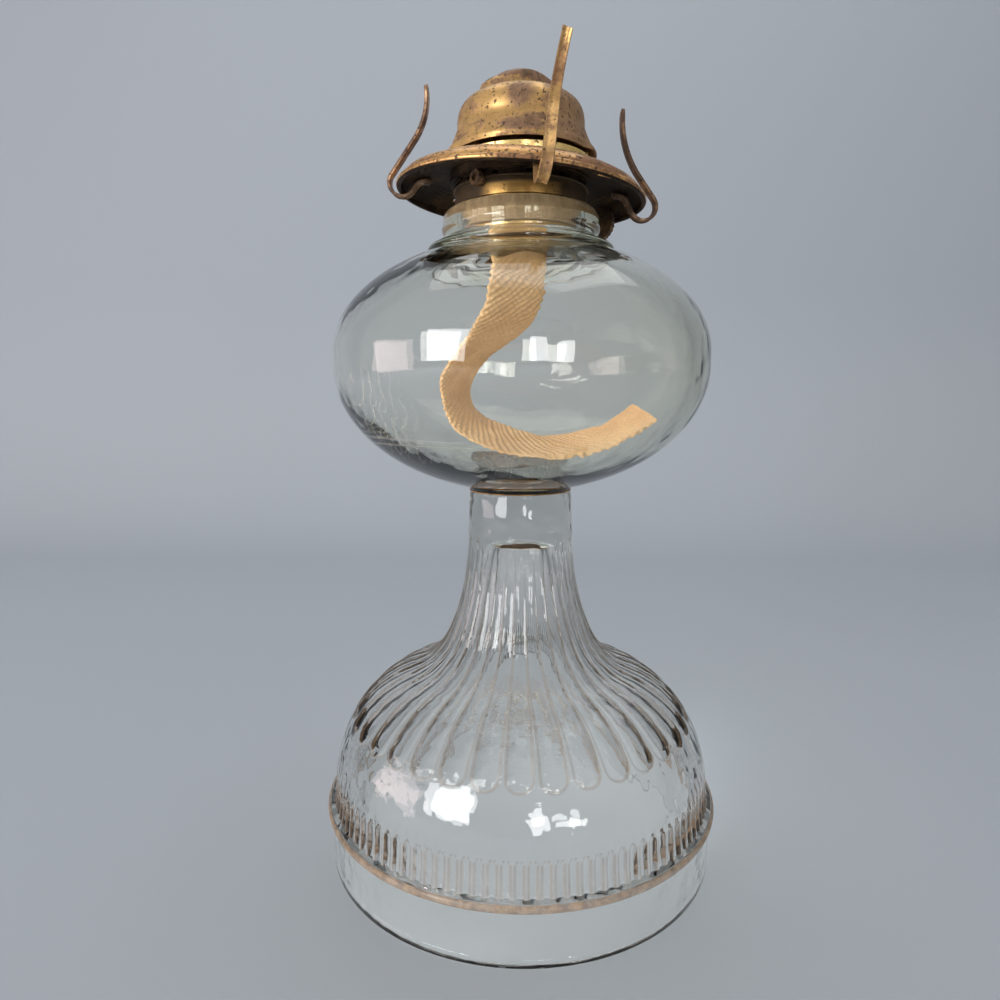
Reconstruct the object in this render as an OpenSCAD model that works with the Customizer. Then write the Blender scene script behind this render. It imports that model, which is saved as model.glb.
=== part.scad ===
// Kerosene lamp: pressed-glass pedestal, round glass font and a flat-wick brass burner.
// Millimetres, +Z up, origin on the table under the middle of the pedestal.
// The front, where the first prong stands, faces -Y.

/* [Pedestal] */
// Radius of the foot where it stands on the table
skirt_r = 64.8; // [60:0.1:68]
// Wall of the glass bell
bell_wall = 4.6; // [3.5:0.1:5.5]
// Largest radius of the bell above the bead
crown_r = 63.5; // [60:0.1:65]
// Height at which the bell is widest
crown_z = 26; // [24:0.1:28]
// Radius of the bell's shoulder curve
shoulder_r = 39.5; // [37:0.1:42]
// Radius of the stem
stem_r = 17.6; // [16.5:0.1:18.5]
// Height at which the stem starts to flare
flare_z = 108; // [106:0.5:112]
// Radius of the long curve of the flare
flare_r = 82; // [76:0.5:88]
// Slope at the foot of the long curve, from the vertical
flare_slope = 23; // [20:0.5:25]
// Height of the joint between stem and font
joint_z = 123.8; // [120:0.1:128]
// Top of the hollow inside the stem
hollow_z = 104; // [100:0.5:108]
// Radius of the hollow near its top
hollow_r = 9.4; // [8:0.1:10.5]
// Height of the bead around the skirt
bead_z = 18.8; // [17.5:0.1:19.5]
// Radius of the bead's section
bead_t = 1.5; // [1:0.1:1.8]

/* [Flutes] */
// Number of long flutes on the stem and shoulder
long_flutes = 36; // [24:1:40]
// Depth of a long flute at its foot
flute_depth = 1.5; // [0.8:0.1:2]
// Height at which the long flutes end on the shoulder
flute_foot_z = 46.5; // [45:0.5:50]
// Number of small flutes above the bead
band_flutes = 108; // [90:1:110]
// Depth of a small flute
band_depth = 0.75; // [0.5:0.05:0.9]
// Radius of a small flute's section
band_flute_r = 1.35; // [1.2:0.05:1.5]
// Height of the points of the small flutes
band_top_z = 32.3; // [30:0.1:34]

/* [Font] */
// Largest outer radius of the font
font_r = 60.3; // [57:0.1:63]
// Height of the middle of the font's equator
font_z = 166; // [164:0.1:168]
// Height of the straight stretch at the equator
equator_h = 4; // [2:0.5:6]
// Drop of the lower curve
font_drop = 40.4; // [39:0.1:42]
// Rise of the upper curve
font_rise = 36; // [34:0.1:38]
// Wall of the font at its sides
font_wall = 3; // [2.5:0.1:4]
// Glass below the oil space
font_floor = 4.4; // [4:0.1:6]
// Height of the top of the glass neck
neck_z = 213; // [212:0.1:215]
// Radius of the upper ridge of the neck
ridge_r = 25.3; // [24.6:0.1:26.5]
// Radius of the lower ridge of the neck
step_r = 29.9; // [28.5:0.1:31.5]
// Radius of the bore through the glass neck
neck_bore = 18.6; // [18.2:0.1:19.5]
// Depth of the plaster in the neck
cement_h = 5.8; // [4:0.1:8]
// Depth of the collar in the neck
collar_h = 7.4; // [6:0.1:9]

/* [Burner] */
// Major radius of the burner's thread
thread_r = 15.8; // [15.4:0.05:16.2]
// Outer radius of the burner cup
cup_r = 21; // [20.7:0.1:21.3]
// Height of the burner cup's wall
cup_h = 5; // [4.5:0.1:5.5]
// Thickness of the sheet brass
sheet = 0.6; // [0.4:0.05:0.7]
// Radius of the air basket
basket_r = 20; // [19.7:0.1:20.1]
// Height of the air basket
basket_h = 11.9; // [11.6:0.1:12.2]
// Holes round the wall of the air basket
basket_holes = 24; // [16:1:28]
// Running clearance of turning fits
fit = 0.08; // [0.05:0.01:0.1]
// Clearance of seated pieces
gap = 0.3; // [0.2:0.05:0.35]

/* [Wick] */
// Width of the wick
wick_w = 25.4; // [22:0.1:26]
// Thickness of the wick
wick_t = 2.8; // [2.4:0.1:3]
// Wall of the wick tube
tube_wall = 0.4; // [0.3:0.05:0.5]
// Height of the top of the wick tube
tube_top = 246; // [243:0.5:247]
// Height of the bottom of the wick tube
tube_foot = 205; // [203:0.5:207]
// Direction of the spindle and the wick's width, from the line of sight
feed_az = 46; // [40:1:50]
// Slope of the spindle
shaft_slope = 4.5; // [4:0.5:5]
// Radius of the spindle
shaft_r = 1.1; // [0.9:0.05:1.2]
// Height of the spindle beside the middle of the wick
shaft_z = 216.7; // [216.6:0.1:216.9]
// Radius to the tips of the feed teeth
tooth_r = 3; // [2.8:0.05:3.2]
// Teeth on a feed wheel
teeth = 10; // [8:1:12]
// Radius of the thumb wheel
wheel_r = 5.8; // [5.2:0.1:5.9]
// Distance of the thumb wheel from the wick's middle
wheel_s = 34.2; // [33:0.1:35]

/* [Gallery] */
// Radius of the gallery's rolled edge
rim_r = 38.6; // [37.5:0.1:39.5]
// Radius of the section of the rolled edge
rim_t = 0.95; // [0.8:0.05:1.1]
// Height of the gallery's edge
rim_z = 217.7; // [217.4:0.1:218]
// Rise of the plate from the edge to the hub
plate_rise = 8.9; // [8.5:0.1:9.1]
// Sag of the gallery to the right, 0 as it was made
gallery_lean = 4.2; // [0:0.1:4.4]
// Draft openings in the plate
drafts = 4; // [3:1:4]

/* [Prongs] */
// Width of a prong
prong_w = 3.4; // [2.8:0.1:4]
// Thickness of a prong
prong_t = 0.8; // [0.6:0.05:0.9]
// Position of the front prong round the gallery
front_az = 8; // [0:1:12]
// Position of the right prong
right_az = 98; // [90:1:102]
// Position of the back prong
back_az = 183; // [175:1:188]
// Position of the left prong
left_az = 265; // [260:1:272]
// How much lower the front prong hangs than the others
front_drop = 5; // [0:0.5:6]

/* [Dome] */
// Radius of the dome's foot
dome_foot_r = 23.6; // [23.3:0.1:24]
// Height of the dome's foot
dome_z = 229.6; // [229.4:0.1:230]
// Radius of the dome's wall at its foot
dome_r = 21.2; // [20.9:0.1:21.5]
// Height of the dome from foot to crown
dome_h = 23.2; // [22.8:0.1:24]
// Height of the raised flame slot above the crown
cap_h = 3.4; // [2.5:0.1:4]
// Width of the flame slot
slot_w = 5.2; // [4.6:0.1:6]

/* [Hidden] */
$fn = 96;

glass = [0.86, 0.9, 0.88, 0.55];
brass = [0.72, 0.56, 0.3];
old_brass = [0.5, 0.37, 0.22];
plaster = [0.72, 0.62, 0.5];
cotton = [0.8, 0.6, 0.4];

// Points on a quarter of an oval round c, or on a part of one, from angle a to b
function oval(c, rx, rz, a, b, n) =
    [for (i = [0 : n]) [c[0] + rx * cos(a + (b - a) * i / n), c[1] + rz * sin(a + (b - a) * i / n)]];
// Points on an arc round c
function arc(c, r, a, b, n) = oval(c, r, r, a, b, n);
function reversed(p) = [for (i = [len(p) - 1 : -1 : 0]) p[i]];
function last(p) = p[len(p) - 1];

// The pedestal's outline is three arcs, each tangent to the next: shoulder, short flare, long flare
shoulder_c = [crown_r - shoulder_r, crown_z];
long_c = [stem_r + flare_r, flare_z];
slope_dir = [cos(flare_slope), sin(flare_slope)];
to_shoulder = long_c - flare_r * slope_dir - shoulder_c;
short_r = (to_shoulder * to_shoulder - shoulder_r * shoulder_r)
    / (2 * (shoulder_r - slope_dir * to_shoulder));
short_c = shoulder_c + to_shoulder + short_r * slope_dir;
meet_a = atan2(short_c[1] - shoulder_c[1], short_c[0] - shoulder_c[0]);
foot_a = asin((flute_foot_z - crown_z) / shoulder_r);
stem_top_r = stem_r - 0.6;
// Angle over which the round foot of a long flute closes
foot_round = 7;
// Height below the top of the flare where the long flutes have faded out
fade_h = 10;

// The pressed glass is stacked from three lengths, fused: skirt, band of small flutes, and shoulder
// with the long flutes up to the stem. One hollow is cut through them all.
band_foot_z = bead_z + bead_t + 0.1;
band_foot_r = crown_r + 0.6;
// Ledges by which the bead and the shoulder stand proud of the band
band_ledge = 0.3;
point_ledge = 0.1;
function shoulder_x(z) = shoulder_c[0] + sqrt(pow(shoulder_r, 2) - pow(z - crown_z, 2));
function shoulder_angle(z) = asin((z - crown_z) / shoulder_r);

// A ring of fluted glass: radius, height, slope of the surface, depth and half width of its flutes,
// the width as a share of the pitch
function ring(p, slope, depth, width) = [p[0], p[1], slope, depth, width];
band_point_h = 2.2 * band_flute_r;
band_width = band_flute_r * band_flutes / (2 * PI * crown_r);
band_rings = [
    ring([band_foot_r, band_foot_z], 0, band_depth, band_width),
    ring([shoulder_x(band_top_z - band_point_h), band_top_z - band_point_h], 0, band_depth, band_width),
    ring([shoulder_x(band_top_z), band_top_z], 0, 0, band_width / 20)];

function long_width(r) = 0.5 - 0.09 * (r - stem_r) / (crown_r - stem_r);
function long_depth(r, z) = flute_depth * (0.25 + 0.75 * (r - stem_r) / (crown_r - stem_r))
    * min(1, max(0, (flare_z - z) / fade_h));
// How far a long flute has opened at angle a of the shoulder: its foot is round
function open_share(a) = sqrt(max(0, 1 - pow(1 - min(1, max(0, (a - foot_a) / foot_round)), 2)));
function long_ring(p, slope, share) =
    ring(p, slope, long_depth(p[0], p[1]) * share, long_width(p[0]) * max(share, 0.5));
band_a = shoulder_angle(band_top_z);
long_rings = concat(
    [long_ring([shoulder_x(band_top_z) + point_ledge, band_top_z], 0, 0)],
    [for (a = [(band_a + foot_a) / 2, foot_a, foot_a + 1, foot_a + 3, foot_a + foot_round, foot_a + 17,
            foot_a + 28, meet_a])
        long_ring(shoulder_c + shoulder_r * [cos(a), sin(a)], a, open_share(a))],
    [for (i = [1 : 4]) let (a = meet_a + (flare_slope - meet_a) * i / 4)
        long_ring(short_c - short_r * [cos(a), sin(a)], a, 1)],
    [for (i = [1 : 3]) let (a = flare_slope * (1 - i / 3))
        long_ring(long_c - flare_r * [cos(a), sin(a)], a, 1)],
    [long_ring([stem_top_r, joint_z], 0, 0)]);

// Solid of stacked rings: each flute is shaped by its places across, from -1 to 1, and by the depth there
module fluted(rings, flutes, across, depths) {
    n = len(across) * flutes;
    top = len(rings) * n;
    points = concat(
        [for (g = rings, f = [0 : flutes - 1], k = [0 : len(across) - 1])
            let (a = 360 * (f + g[4] * across[k]) / flutes, r = g[0] - g[3] * depths[k] * cos(g[2]))
            [r * sin(a), -r * cos(a), g[1] - g[3] * depths[k] * sin(g[2])]],
        [[0, 0, rings[0][1]], [0, 0, last(rings)[1]]]);
    faces = concat(
        [for (k = [0 : len(rings) - 2], j = [0 : n - 1]) let (m = (j + 1) % n)
            each [[k * n + j, (k + 1) * n + j, (k + 1) * n + m], [k * n + j, (k + 1) * n + m, k * n + m]]],
        [for (j = [0 : n - 1]) [j, (j + 1) % n, top]],
        [for (j = [0 : n - 1]) [top - n + (j + 1) % n, top - n + j, top + 1]]);
    polyhedron(points, faces);
}

// The hollow follows the outline at one wall's distance and narrows into the stem
hollow_slope = 25;
module hollow() {
    inner_r = crown_r - bell_wall;
    hollow_top = arc([0, hollow_z - hollow_r], hollow_r, 0, 75, 4);
    rotate_extrude() polygon(concat(
        [[0, -1], [inner_r + 1.4, -1], [inner_r + 1.4, 0]],
        arc(shoulder_c, shoulder_r - bell_wall, 0, meet_a, 9),
        [for (i = [1 : 4]) let (a = meet_a + (hollow_slope - meet_a) * i / 4)
            short_c - (short_r + bell_wall) * [cos(a), sin(a)]],
        hollow_top,
        [[0, last(hollow_top)[1]]]));
}
module skirt() {
    rotate_extrude() polygon(concat(
        [[0, 0], [skirt_r - 0.7, 0], [skirt_r, 0.7], [crown_r + 1.7, bead_z - bead_t]],
        arc([crown_r + 1.4, bead_z], bead_t, -75, 75, 6),
        [[band_foot_r + band_ledge, band_foot_z], [0, band_foot_z]]));
}
module pedestal() {
    color(glass) difference() {
        union() {
            skirt();
            fluted(band_rings, band_flutes, [-1, 0, 1], [0, 1, 0]);
            fluted(long_rings, long_flutes, [-1, -0.4, 0.4, 1], [0, 1, 1, 0]);
        }
        hollow();
    }
}

// Film between the solid top of the stem and the font
film = 0.3;
module stem_cement() {
    color("sienna") translate([0, 0, joint_z]) cylinder(r = stem_top_r, h = film);
}

// The font's outline: lower curve, equator, upper curve, lower ridge and upper ridge of the neck
font_foot_z = joint_z + film;
oil_foot_z = font_foot_z + font_floor;
low_c = [0, font_z - equator_h / 2];
high_c = [0, font_z + equator_h / 2];
foot_angle = acos((stem_top_r + 0.3) / font_r);
step_angle = acos((step_r + 1.3) / font_r);
step_z = neck_z - 12.6;
ridge_z = neck_z - 5.8;
font_outer = concat(
    [[0, font_foot_z], [stem_top_r, font_foot_z]],
    oval(low_c, font_r, font_drop, -foot_angle, 0, 14),
    oval(high_c, font_r, font_rise, 0, step_angle, 13),
    arc([step_r - 1.6, step_z], 1.6, -50, 65, 5),
    [[ridge_r - 0.9, neck_z - 8.8]],
    arc([ridge_r - 2.2, ridge_z], 2.2, -35, 20, 4),
    arc([ridge_r - 3.5, neck_z - 3.2], 3.2, 15, 80, 5));
oil_r = font_r - font_wall;
bore_z = neck_z - 9.5;
oil_angle = acos((neck_bore + 7) / oil_r);
font_inner = concat(
    [[0, oil_foot_z]],
    oval(low_c, oil_r, low_c[1] - oil_foot_z, -84, 0, 14),
    oval(high_c, oil_r, font_rise - font_wall, 0, oil_angle, 10),
    [[neck_bore + 2.5, bore_z - 3.6], [neck_bore, bore_z], [neck_bore, neck_z]]);

module font() {
    color(glass) rotate_extrude() polygon(concat(font_outer, reversed(font_inner)));
}

// A ring from radius a to b, between two heights
module tube(a, b, z0, z1) {
    translate([0, 0, z0]) difference() {
        cylinder(r = b, h = z1 - z0);
        translate([0, 0, -1]) cylinder(r = a, h = z1 - z0 + 2);
    }
}

collar_in = thread_r + fit;
collar_out = collar_in + 0.8;
flange_top = neck_z + sheet;
flange_r = cup_r - 0.6;
module collar_cement() {
    color(plaster) tube(collar_out, neck_bore, neck_z - cement_h, neck_z);
}
module collar() {
    color(brass) {
        tube(collar_in, collar_out, neck_z - collar_h, flange_top);
        tube(collar_out - 0.1, flange_r, neck_z, flange_top);
    }
}

// Frame of the wick and spindle: X along the wick's width, Y across it
module at_feed() {
    rotate([0, 0, 90 - feed_az]) children();
}
// A box centred on the axis between two heights
module block(w, d, z0, z1) {
    translate([-w / 2, -d / 2, z0]) cube([w, d, z1 - z0]);
}
shaft_y = -(wick_t / 2 + 0.05 + tooth_r);
// Frame of the spindle: Z runs down the shaft to the thumb wheel
module on_shaft(s) {
    at_feed() translate([0, shaft_y, shaft_z]) rotate([0, 90 + shaft_slope, 0])
        translate([0, 0, s / cos(shaft_slope)]) children();
}
module shaft_hole(r, s0, s1) {
    on_shaft(s0) cylinder(r = r, h = s1 - s0);
}

cup_z = flange_top + 0.2;
floor_z = cup_z + sheet;
cup_top = cup_z + cup_h;
tube_w = wick_w + 0.8 + 2 * tube_wall;
tube_d = wick_t + 0.6 + 2 * tube_wall;
// Place of each feed wheel along the spindle, and its thickness
feed_s = 6;
feed_w = 1;
box_w = 17;
box_y0 = -tube_d / 2;
box_y1 = shaft_y - tooth_r - 0.9;
// The feed wheels stand apart on the slope of the spindle, one higher and one lower
wheel_offset = feed_s * tan(shaft_slope);
box_z0 = shaft_z - tooth_r - wheel_offset - 0.9;
box_z1 = shaft_z + tooth_r + wheel_offset + 0.9;
vent_y = 6.5;
vent_r = 1.5;

module box_space(grow, z0, z1) {
    translate([-box_w / 2 - grow, box_y1 - grow, z0])
        cube([box_w + 2 * grow, box_y0 - box_y1 + grow, z1 - z0]);
}
module floor_cuts() {
    at_feed() {
        block(tube_w, tube_d, cup_z - 1, floor_z + 20);
        box_space(0, cup_z - 1, box_z1 + 1);
        translate([0, vent_y, cup_z - 1]) cylinder(r = vent_r, h = sheet + 2);
    }
}

module thread_shell() {
    color(brass) tube(thread_r - 0.8, thread_r, neck_z - 7, cup_z);
}
ferrule_neck = 1.55;
lip_r = cup_r + 0.1;
lip_t = 0.45;
module burner_cup() {
    color(brass) difference() {
        union() {
            tube(cup_r - sheet, cup_r, cup_z, cup_top);
            translate([0, 0, cup_z]) cylinder(r = cup_r - 0.1, h = sheet);
            translate([0, 0, cup_top]) rotate_extrude() translate([lip_r, 0]) circle(r = lip_t, $fn = 24);
        }
        floor_cuts();
        shaft_hole(shaft_r + 0.2, 10, cup_r + 6);
        shaft_hole(ferrule_neck + 0.1, -cup_r - 6, -10);
    }
}

basket_top = floor_z + basket_h;
module air_basket() {
    skin = 0.5;
    hole_r = 0.9;
    color(old_brass) difference() {
        union() {
            tube(basket_r - skin, basket_r, floor_z, basket_top);
            translate([0, 0, basket_top - skin]) cylinder(r = basket_r - 0.1, h = skin);
        }
        at_feed() block(tube_w + 0.2, tube_d + 0.2, basket_top - 2, basket_top + 1);
        for (i = [0 : basket_holes - 1]) rotate([0, 0, 360 * (i + 0.5) / basket_holes]) {
            translate([basket_r - 2, 0, floor_z + 5.6 + (i % 2) * 2.4]) rotate([0, 90, 0])
                cylinder(r = hole_r, h = 4, $fn = 24);
            translate([basket_r - 3.4, 0, basket_top - 2]) cylinder(r = hole_r, h = 4, $fn = 24);
        }
        shaft_hole(shaft_r + 0.2, 10, cup_r + 6);
        shaft_hole(ferrule_neck + 0.1, -cup_r - 6, -10);
    }
}

// The tube has windows where the feed teeth reach the wick
module wick_tube() {
    color(brass) at_feed() difference() {
        block(tube_w, tube_d, tube_foot, tube_top);
        block(tube_w - 2 * tube_wall, tube_d - 2 * tube_wall, tube_foot - 1, tube_top + 1);
        for (s = [-feed_s, feed_s]) translate([s - feed_w / 2 - 0.4, -tube_d / 2 - 1, box_z0 + 1.2])
            cube([feed_w + 0.8, tube_d / 2, box_z1 - box_z0 - 2.4]);
    }
}
module vent_tube() {
    color(brass) at_feed() translate([0, vent_y, 0]) tube(vent_r - 0.4, vent_r, tube_foot + 4, floor_z + 6);
}
module sprocket_box() {
    skin = 0.5;
    color(brass) difference() {
        at_feed() {
            difference() {
                box_space(0, box_z0, box_z1);
                translate([-box_w / 2 + skin, box_y1 + skin, box_z0 + skin])
                    cube([box_w - 2 * skin, box_y0 - box_y1, box_z1 - box_z0 - 2 * skin]);
            }
        }
        shaft_hole(shaft_r + fit, -box_w, box_w);
    }
}
module shaft_ferrule() {
    flange = 2.2;
    flange_t = 1.7;
    color(old_brass) difference() {
        on_shaft(-lip_r - lip_t - 0.1 - flange_t) union() {
            cylinder(r = flange, h = flange_t);
            cylinder(r = ferrule_neck, h = flange_t + 2.4);
        }
        shaft_hole(shaft_r + fit, -cup_r - 8, -10);
    }
}
module wick_shaft() {
    color(old_brass) on_shaft(-cup_r - 1.4)
        cylinder(r = shaft_r, h = (wheel_s + cup_r + 2.6) / cos(shaft_slope));
}

// A feed wheel with pointed teeth
module sprocket_wheels() {
    root = 1.9;
    color(brass) for (s = [-feed_s, feed_s]) on_shaft(s - feed_w / 2) linear_extrude(feed_w) difference() {
        polygon([for (i = [0 : teeth - 1], k = [0 : 3])
            let (a = 360 * (i + [-0.3, -0.06, 0.06, 0.3][k]) / teeth, r = [root, tooth_r, tooth_r, root][k])
            r * [cos(a), sin(a)]]);
        circle(r = shaft_r);
    }
}
module thumb_wheel() {
    rim_w = 1.6;
    notches = 24;
    color(old_brass) on_shaft(wheel_s - rim_w / 2) difference() {
        union() {
            linear_extrude(rim_w) polygon([for (i = [0 : notches - 1], k = [0 : 1])
                (wheel_r - 0.35 * k) * [cos(360 * (i + k / 2) / notches), sin(360 * (i + k / 2) / notches)]]);
            translate([0, 0, -1.2]) cylinder(r = shaft_r + 1, h = rim_w + 1.6);
        }
        translate([0, 0, rim_w - 0.4]) difference() {
            cylinder(r = wheel_r - 1.2, h = 1);
            cylinder(r = shaft_r + 1.2, h = 1);
        }
        translate([0, 0, -3]) cylinder(r = shaft_r, h = 8);
    }
}

// The wick hangs straight from the burner, curls to the left and lies along the floor of the font.
// Each entry is a point on its middle and the direction of its width.
wick_top = tube_top - 0.5;
hang_z = 192;
straight_z = hang_z + 8;
width_dir = [sin(feed_az), cos(feed_az), 0];
wick_path = [
    [[0, 0, wick_top], width_dir],
    [[0, 0, straight_z], width_dir],
    [[0, 0, hang_z], width_dir],
    [[-2, 2, 184], [0.7, 0.72, 0]],
    [[-8, 8, 176], [0.62, 0.78, 0.05]],
    [[-16, 13, 168.5], [0.5, 0.85, 0.1]],
    [[-21, 16, 160], [0.36, 0.93, 0]],
    [[-21.5, 16, 151.5], [0.3, 0.95, 0]],
    [[-17, 13, oil_foot_z + 14], [0.2, 0.93, 0.24]],
    [[-8, 8, oil_foot_z + 8.9], [0.04, 0.95, 0.28]],
    [[3, 3, oil_foot_z + 6.5], [0, 0.97, 0.22]],
    [[14, 0.5, oil_foot_z + 6.7], [0, 0.98, 0.17]],
    [[25, -1, oil_foot_z + 9.7], [-0.04, 0.98, 0.16]],
    [[34, -1.5, oil_foot_z + 13.9], [-0.08, 0.98, 0.14]],
    [[40, -1.5, oil_foot_z + 17.7], [-0.1, 0.98, 0.14]]];
function unit(v) = v / norm(v);
// Smooth curve through the entries of a list, at place t counted in entries
function blend(p, q, r, s, f) = 0.5 * (2 * q + (r - p) * f + (2 * p - 5 * q + 4 * r - s) * f * f
    + (3 * q - p - 3 * r + s) * f * f * f);
function entry(i, k) = wick_path[min(len(wick_path) - 1, max(0, i))][k];
function along(t, k) = let (i = min(len(wick_path) - 2, floor(t)))
    blend(entry(i - 1, k), entry(i, k), entry(i + 1, k), entry(i + 2, k), t - i);
module wick() {
    steps = 3;
    count = (len(wick_path) - 1) * steps;
    points = [for (i = [0 : count])
        let (t = i / steps, c = along(t, 0), w0 = unit(along(t, 1)))
        let (ahead = unit(along(min(t + 0.05, count / steps), 0) - along(max(t - 0.05, 0), 0)))
        let (w = unit(w0 - (w0 * ahead) * ahead), n = cross(ahead, w))
        for (k = [[-1, -1], [1, -1], [1, 1], [-1, 1]]) c + w * k[0] * wick_w / 2 + n * k[1] * wick_t / 2];
    faces = concat(
        [[0, 1, 2], [0, 2, 3]],
        [for (i = [0 : count - 1], k = [0 : 3]) let (a = 4 * i + k, b = 4 * i + (k + 1) % 4)
            each [[a, a + 4, b + 4], [a, b + 4, b]]],
        [[4 * count + 2, 4 * count + 1, 4 * count], [4 * count + 3, 4 * count + 2, 4 * count]]);
    color(cotton) polyhedron(points, faces);
}

// Frame of the gallery, which has sagged to the right
module on_gallery(az) {
    translate([0, 0, rim_z]) rotate([0, gallery_lean, 0]) rotate([0, 0, az - 90]) children();
}
hub_r = cup_r + 1.6;
plate_c = [hub_r + 1.4, 0];
plate_rx = rim_r - 0.2 - plate_c[0];
rivet_a = 67;
rivet_p = plate_c + [plate_rx * cos(rivet_a), plate_rise * sin(rivet_a)];
rivet_slope = atan2(plate_rise * cos(rivet_a), plate_rx * sin(rivet_a));
rivet_shank = 0.8;
// Frame on the plate at a prong's rivet: X away from the axis, Z square to the plate
module at_rivet(az) {
    on_gallery(az) translate([rivet_p[0], 0, rivet_p[1]]) rotate([0, rivet_slope, 0]) children();
}
prong_places = [front_az, right_az, back_az, left_az];

module draft_opening() {
    mid = (plate_c[0] + rim_r) / 2 - 0.6;
    translate([mid, 0, 0]) linear_extrude(plate_rise + 5) offset(r = 0.8, $fn = 24)
        polygon([[-3.1, 0], [2.4, -6.4], [2.4, 6.4]]);
}
module gallery() {
    inner = reversed(oval(plate_c, plate_rx - sheet, plate_rise - sheet, 2, 90, 9));
    color(old_brass) difference() {
        on_gallery(0) union() {
            rotate_extrude() polygon(concat(oval(plate_c, plate_rx, plate_rise, 2, 90, 9),
                [[hub_r, plate_rise], [hub_r, plate_rise - sheet]], inner));
            rotate_extrude() translate([rim_r, 0]) circle(r = rim_t, $fn = 24);
        }
        for (i = [0 : drafts - 1]) on_gallery(front_az + 45 + 360 * i / drafts) draft_opening();
        for (az = prong_places) at_rivet(az) translate([0, 0, -3])
            cylinder(r = rivet_shank + 0.02, h = 6, $fn = 32);
    }
}

seat_in = basket_r + 1.2;
seat_flange_z = basket_top + gap;
spring_z = cup_top + 1.7;
module gallery_spring() {
    fingers = 12;
    color(brass) difference() {
        tube(basket_r + 0.35, basket_r + 0.85, spring_z, seat_flange_z);
        for (i = [0 : fingers - 1]) rotate([0, 0, 360 * i / fingers])
            translate([basket_r - 1, -0.4, spring_z - 1]) cube([3, 0.8, 4.4]);
    }
}
module dome_seat() {
    color(brass) {
        tube(seat_in, seat_in + sheet, spring_z + 2, dome_z + 1.1);
        tube(basket_r - 2.2, seat_in + 0.1, seat_flange_z, seat_flange_z + 0.5);
    }
}

// Outline of the dome's wall for a given inset from its outer face
wall_z = 8.8;
function dome_wall(t) = concat(
    [[dome_foot_r - t, 0], [dome_r + 1.25 - t, 1.3], [dome_r + 0.45 - t, 3], [dome_r - t, 5]],
    [[dome_r - 0.1 - t, 6.4]],
    [[dome_r + 0.2 - t, 6.7], [dome_r + 0.2 - t, 7.4], [dome_r - 0.4 - t, 7.8]],
    oval([0, wall_z], dome_r - 0.6 - t, dome_h - wall_z - t, 0, 90, 12));
cap_len = wick_w + 3.4;
cap_w = slot_w + 7.6;
module cap_form(t) {
    round_r = 22;
    top = dome_h + cap_h - t;
    intersection() {
        union() {
            block(cap_len - cap_w, cap_w - 2 * t, dome_h - 9, top + 1);
            for (s = [-1, 1]) translate([s * (cap_len - cap_w) / 2, 0, dome_h - 9])
                cylinder(r = cap_w / 2 - t, h = 9 + cap_h + 1);
        }
        translate([0, 0, top - round_r]) sphere(r = round_r);
    }
}
module dome() {
    notch_h = 1;
    notch_span = 124;
    color(old_brass) translate([0, 0, dome_z]) difference() {
        union() {
            rotate_extrude() polygon(concat([[0, 0]], dome_wall(0)));
            at_feed() cap_form(0);
        }
        rotate_extrude() polygon(concat([[0, -0.01], [dome_foot_r - 0.7, -0.01]], dome_wall(0.6)));
        at_feed() {
            cap_form(0.6);
            block(wick_w + 2, slot_w, dome_h - 4, dome_h + cap_h + 2);
        }
        rotate([0, 0, -90 - notch_span / 2]) rotate_extrude(angle = notch_span)
            translate([dome_r - 1, -1]) square([6, notch_h + 1]);
    }
}

// A prong's middle line: list of steps, each [length, 0] straight on or [radius, turn]
function turned(p, h, step) = step[1] == 0 ? p + step[0] * [cos(h), sin(h)]
    : let (s = sign(step[1])) p + s * step[0] * [sin(h + step[1]) - sin(h), cos(h) - cos(h + step[1])];
function walk(steps, i, p, h) = i == len(steps) ? []
    : let (n = steps[i][1] == 0 ? 1 : 10)
      concat([for (k = [1 : n])
          let (part = [steps[i][1] == 0 ? steps[i][0] * k / n : steps[i][0], steps[i][1] * k / n])
              [turned(p, h, part), h + part[1]]],
          walk(steps, i + 1, turned(p, h, steps[i]), h + steps[i][1]));
u_turn_r = 4.2;
foot_len = 2.9;
module prong(az, drop) {
    dive = -58;
    start = [-1.3, 0];
    steps = [[foot_len, 0], [3, dive + rivet_slope], [7.5 + drop, 0], [u_turn_r, 123 - dive], [10 + drop, 0],
        [26, -51]];
    path = concat([[start, 0]], walk(steps, 0, start, 0));
    left = [for (q = path) q[0] + prong_t / 2 * [-sin(q[1]), cos(q[1])]];
    right = [for (q = path) q[0] - prong_t / 2 * [-sin(q[1]), cos(q[1])]];
    color(old_brass) at_rivet(az) translate([0, 0, -sheet - gap - prong_t / 2]) difference() {
        rotate([90, 0, 0]) translate([0, 0, -prong_w / 2]) linear_extrude(prong_w)
            polygon(concat(left, reversed(right)));
        translate([0, 0, -2]) cylinder(r = rivet_shank + 0.2, h = 4, $fn = 32);
    }
}
module prong_front() { prong(front_az, front_drop); }
module prong_right() { prong(right_az, 0); }
module prong_back() { prong(back_az, 0); }
module prong_left() { prong(left_az, 0); }
module prong_rivets() {
    head = 1.5;
    grip = sheet + 2 * gap + prong_t + 0.05;
    color(brass) for (az = prong_places) at_rivet(az) {
        cylinder(r = head, h = 0.6, $fn = 32);
        translate([0, 0, -grip]) cylinder(r = rivet_shank, h = grip + 0.3, $fn = 32);
        translate([0, 0, -grip - 0.5]) cylinder(r = head - 0.3, h = 0.5, $fn = 32);
    }
}

pedestal();
stem_cement();
font();
collar_cement();
collar();
thread_shell();
burner_cup();
air_basket();
wick_tube();
vent_tube();
sprocket_box();
shaft_ferrule();
wick_shaft();
sprocket_wheels();
thumb_wheel();
wick();
gallery();
gallery_spring();
dome_seat();
dome();
prong_front();
prong_right();
prong_back();
prong_left();
prong_rivets();
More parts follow.
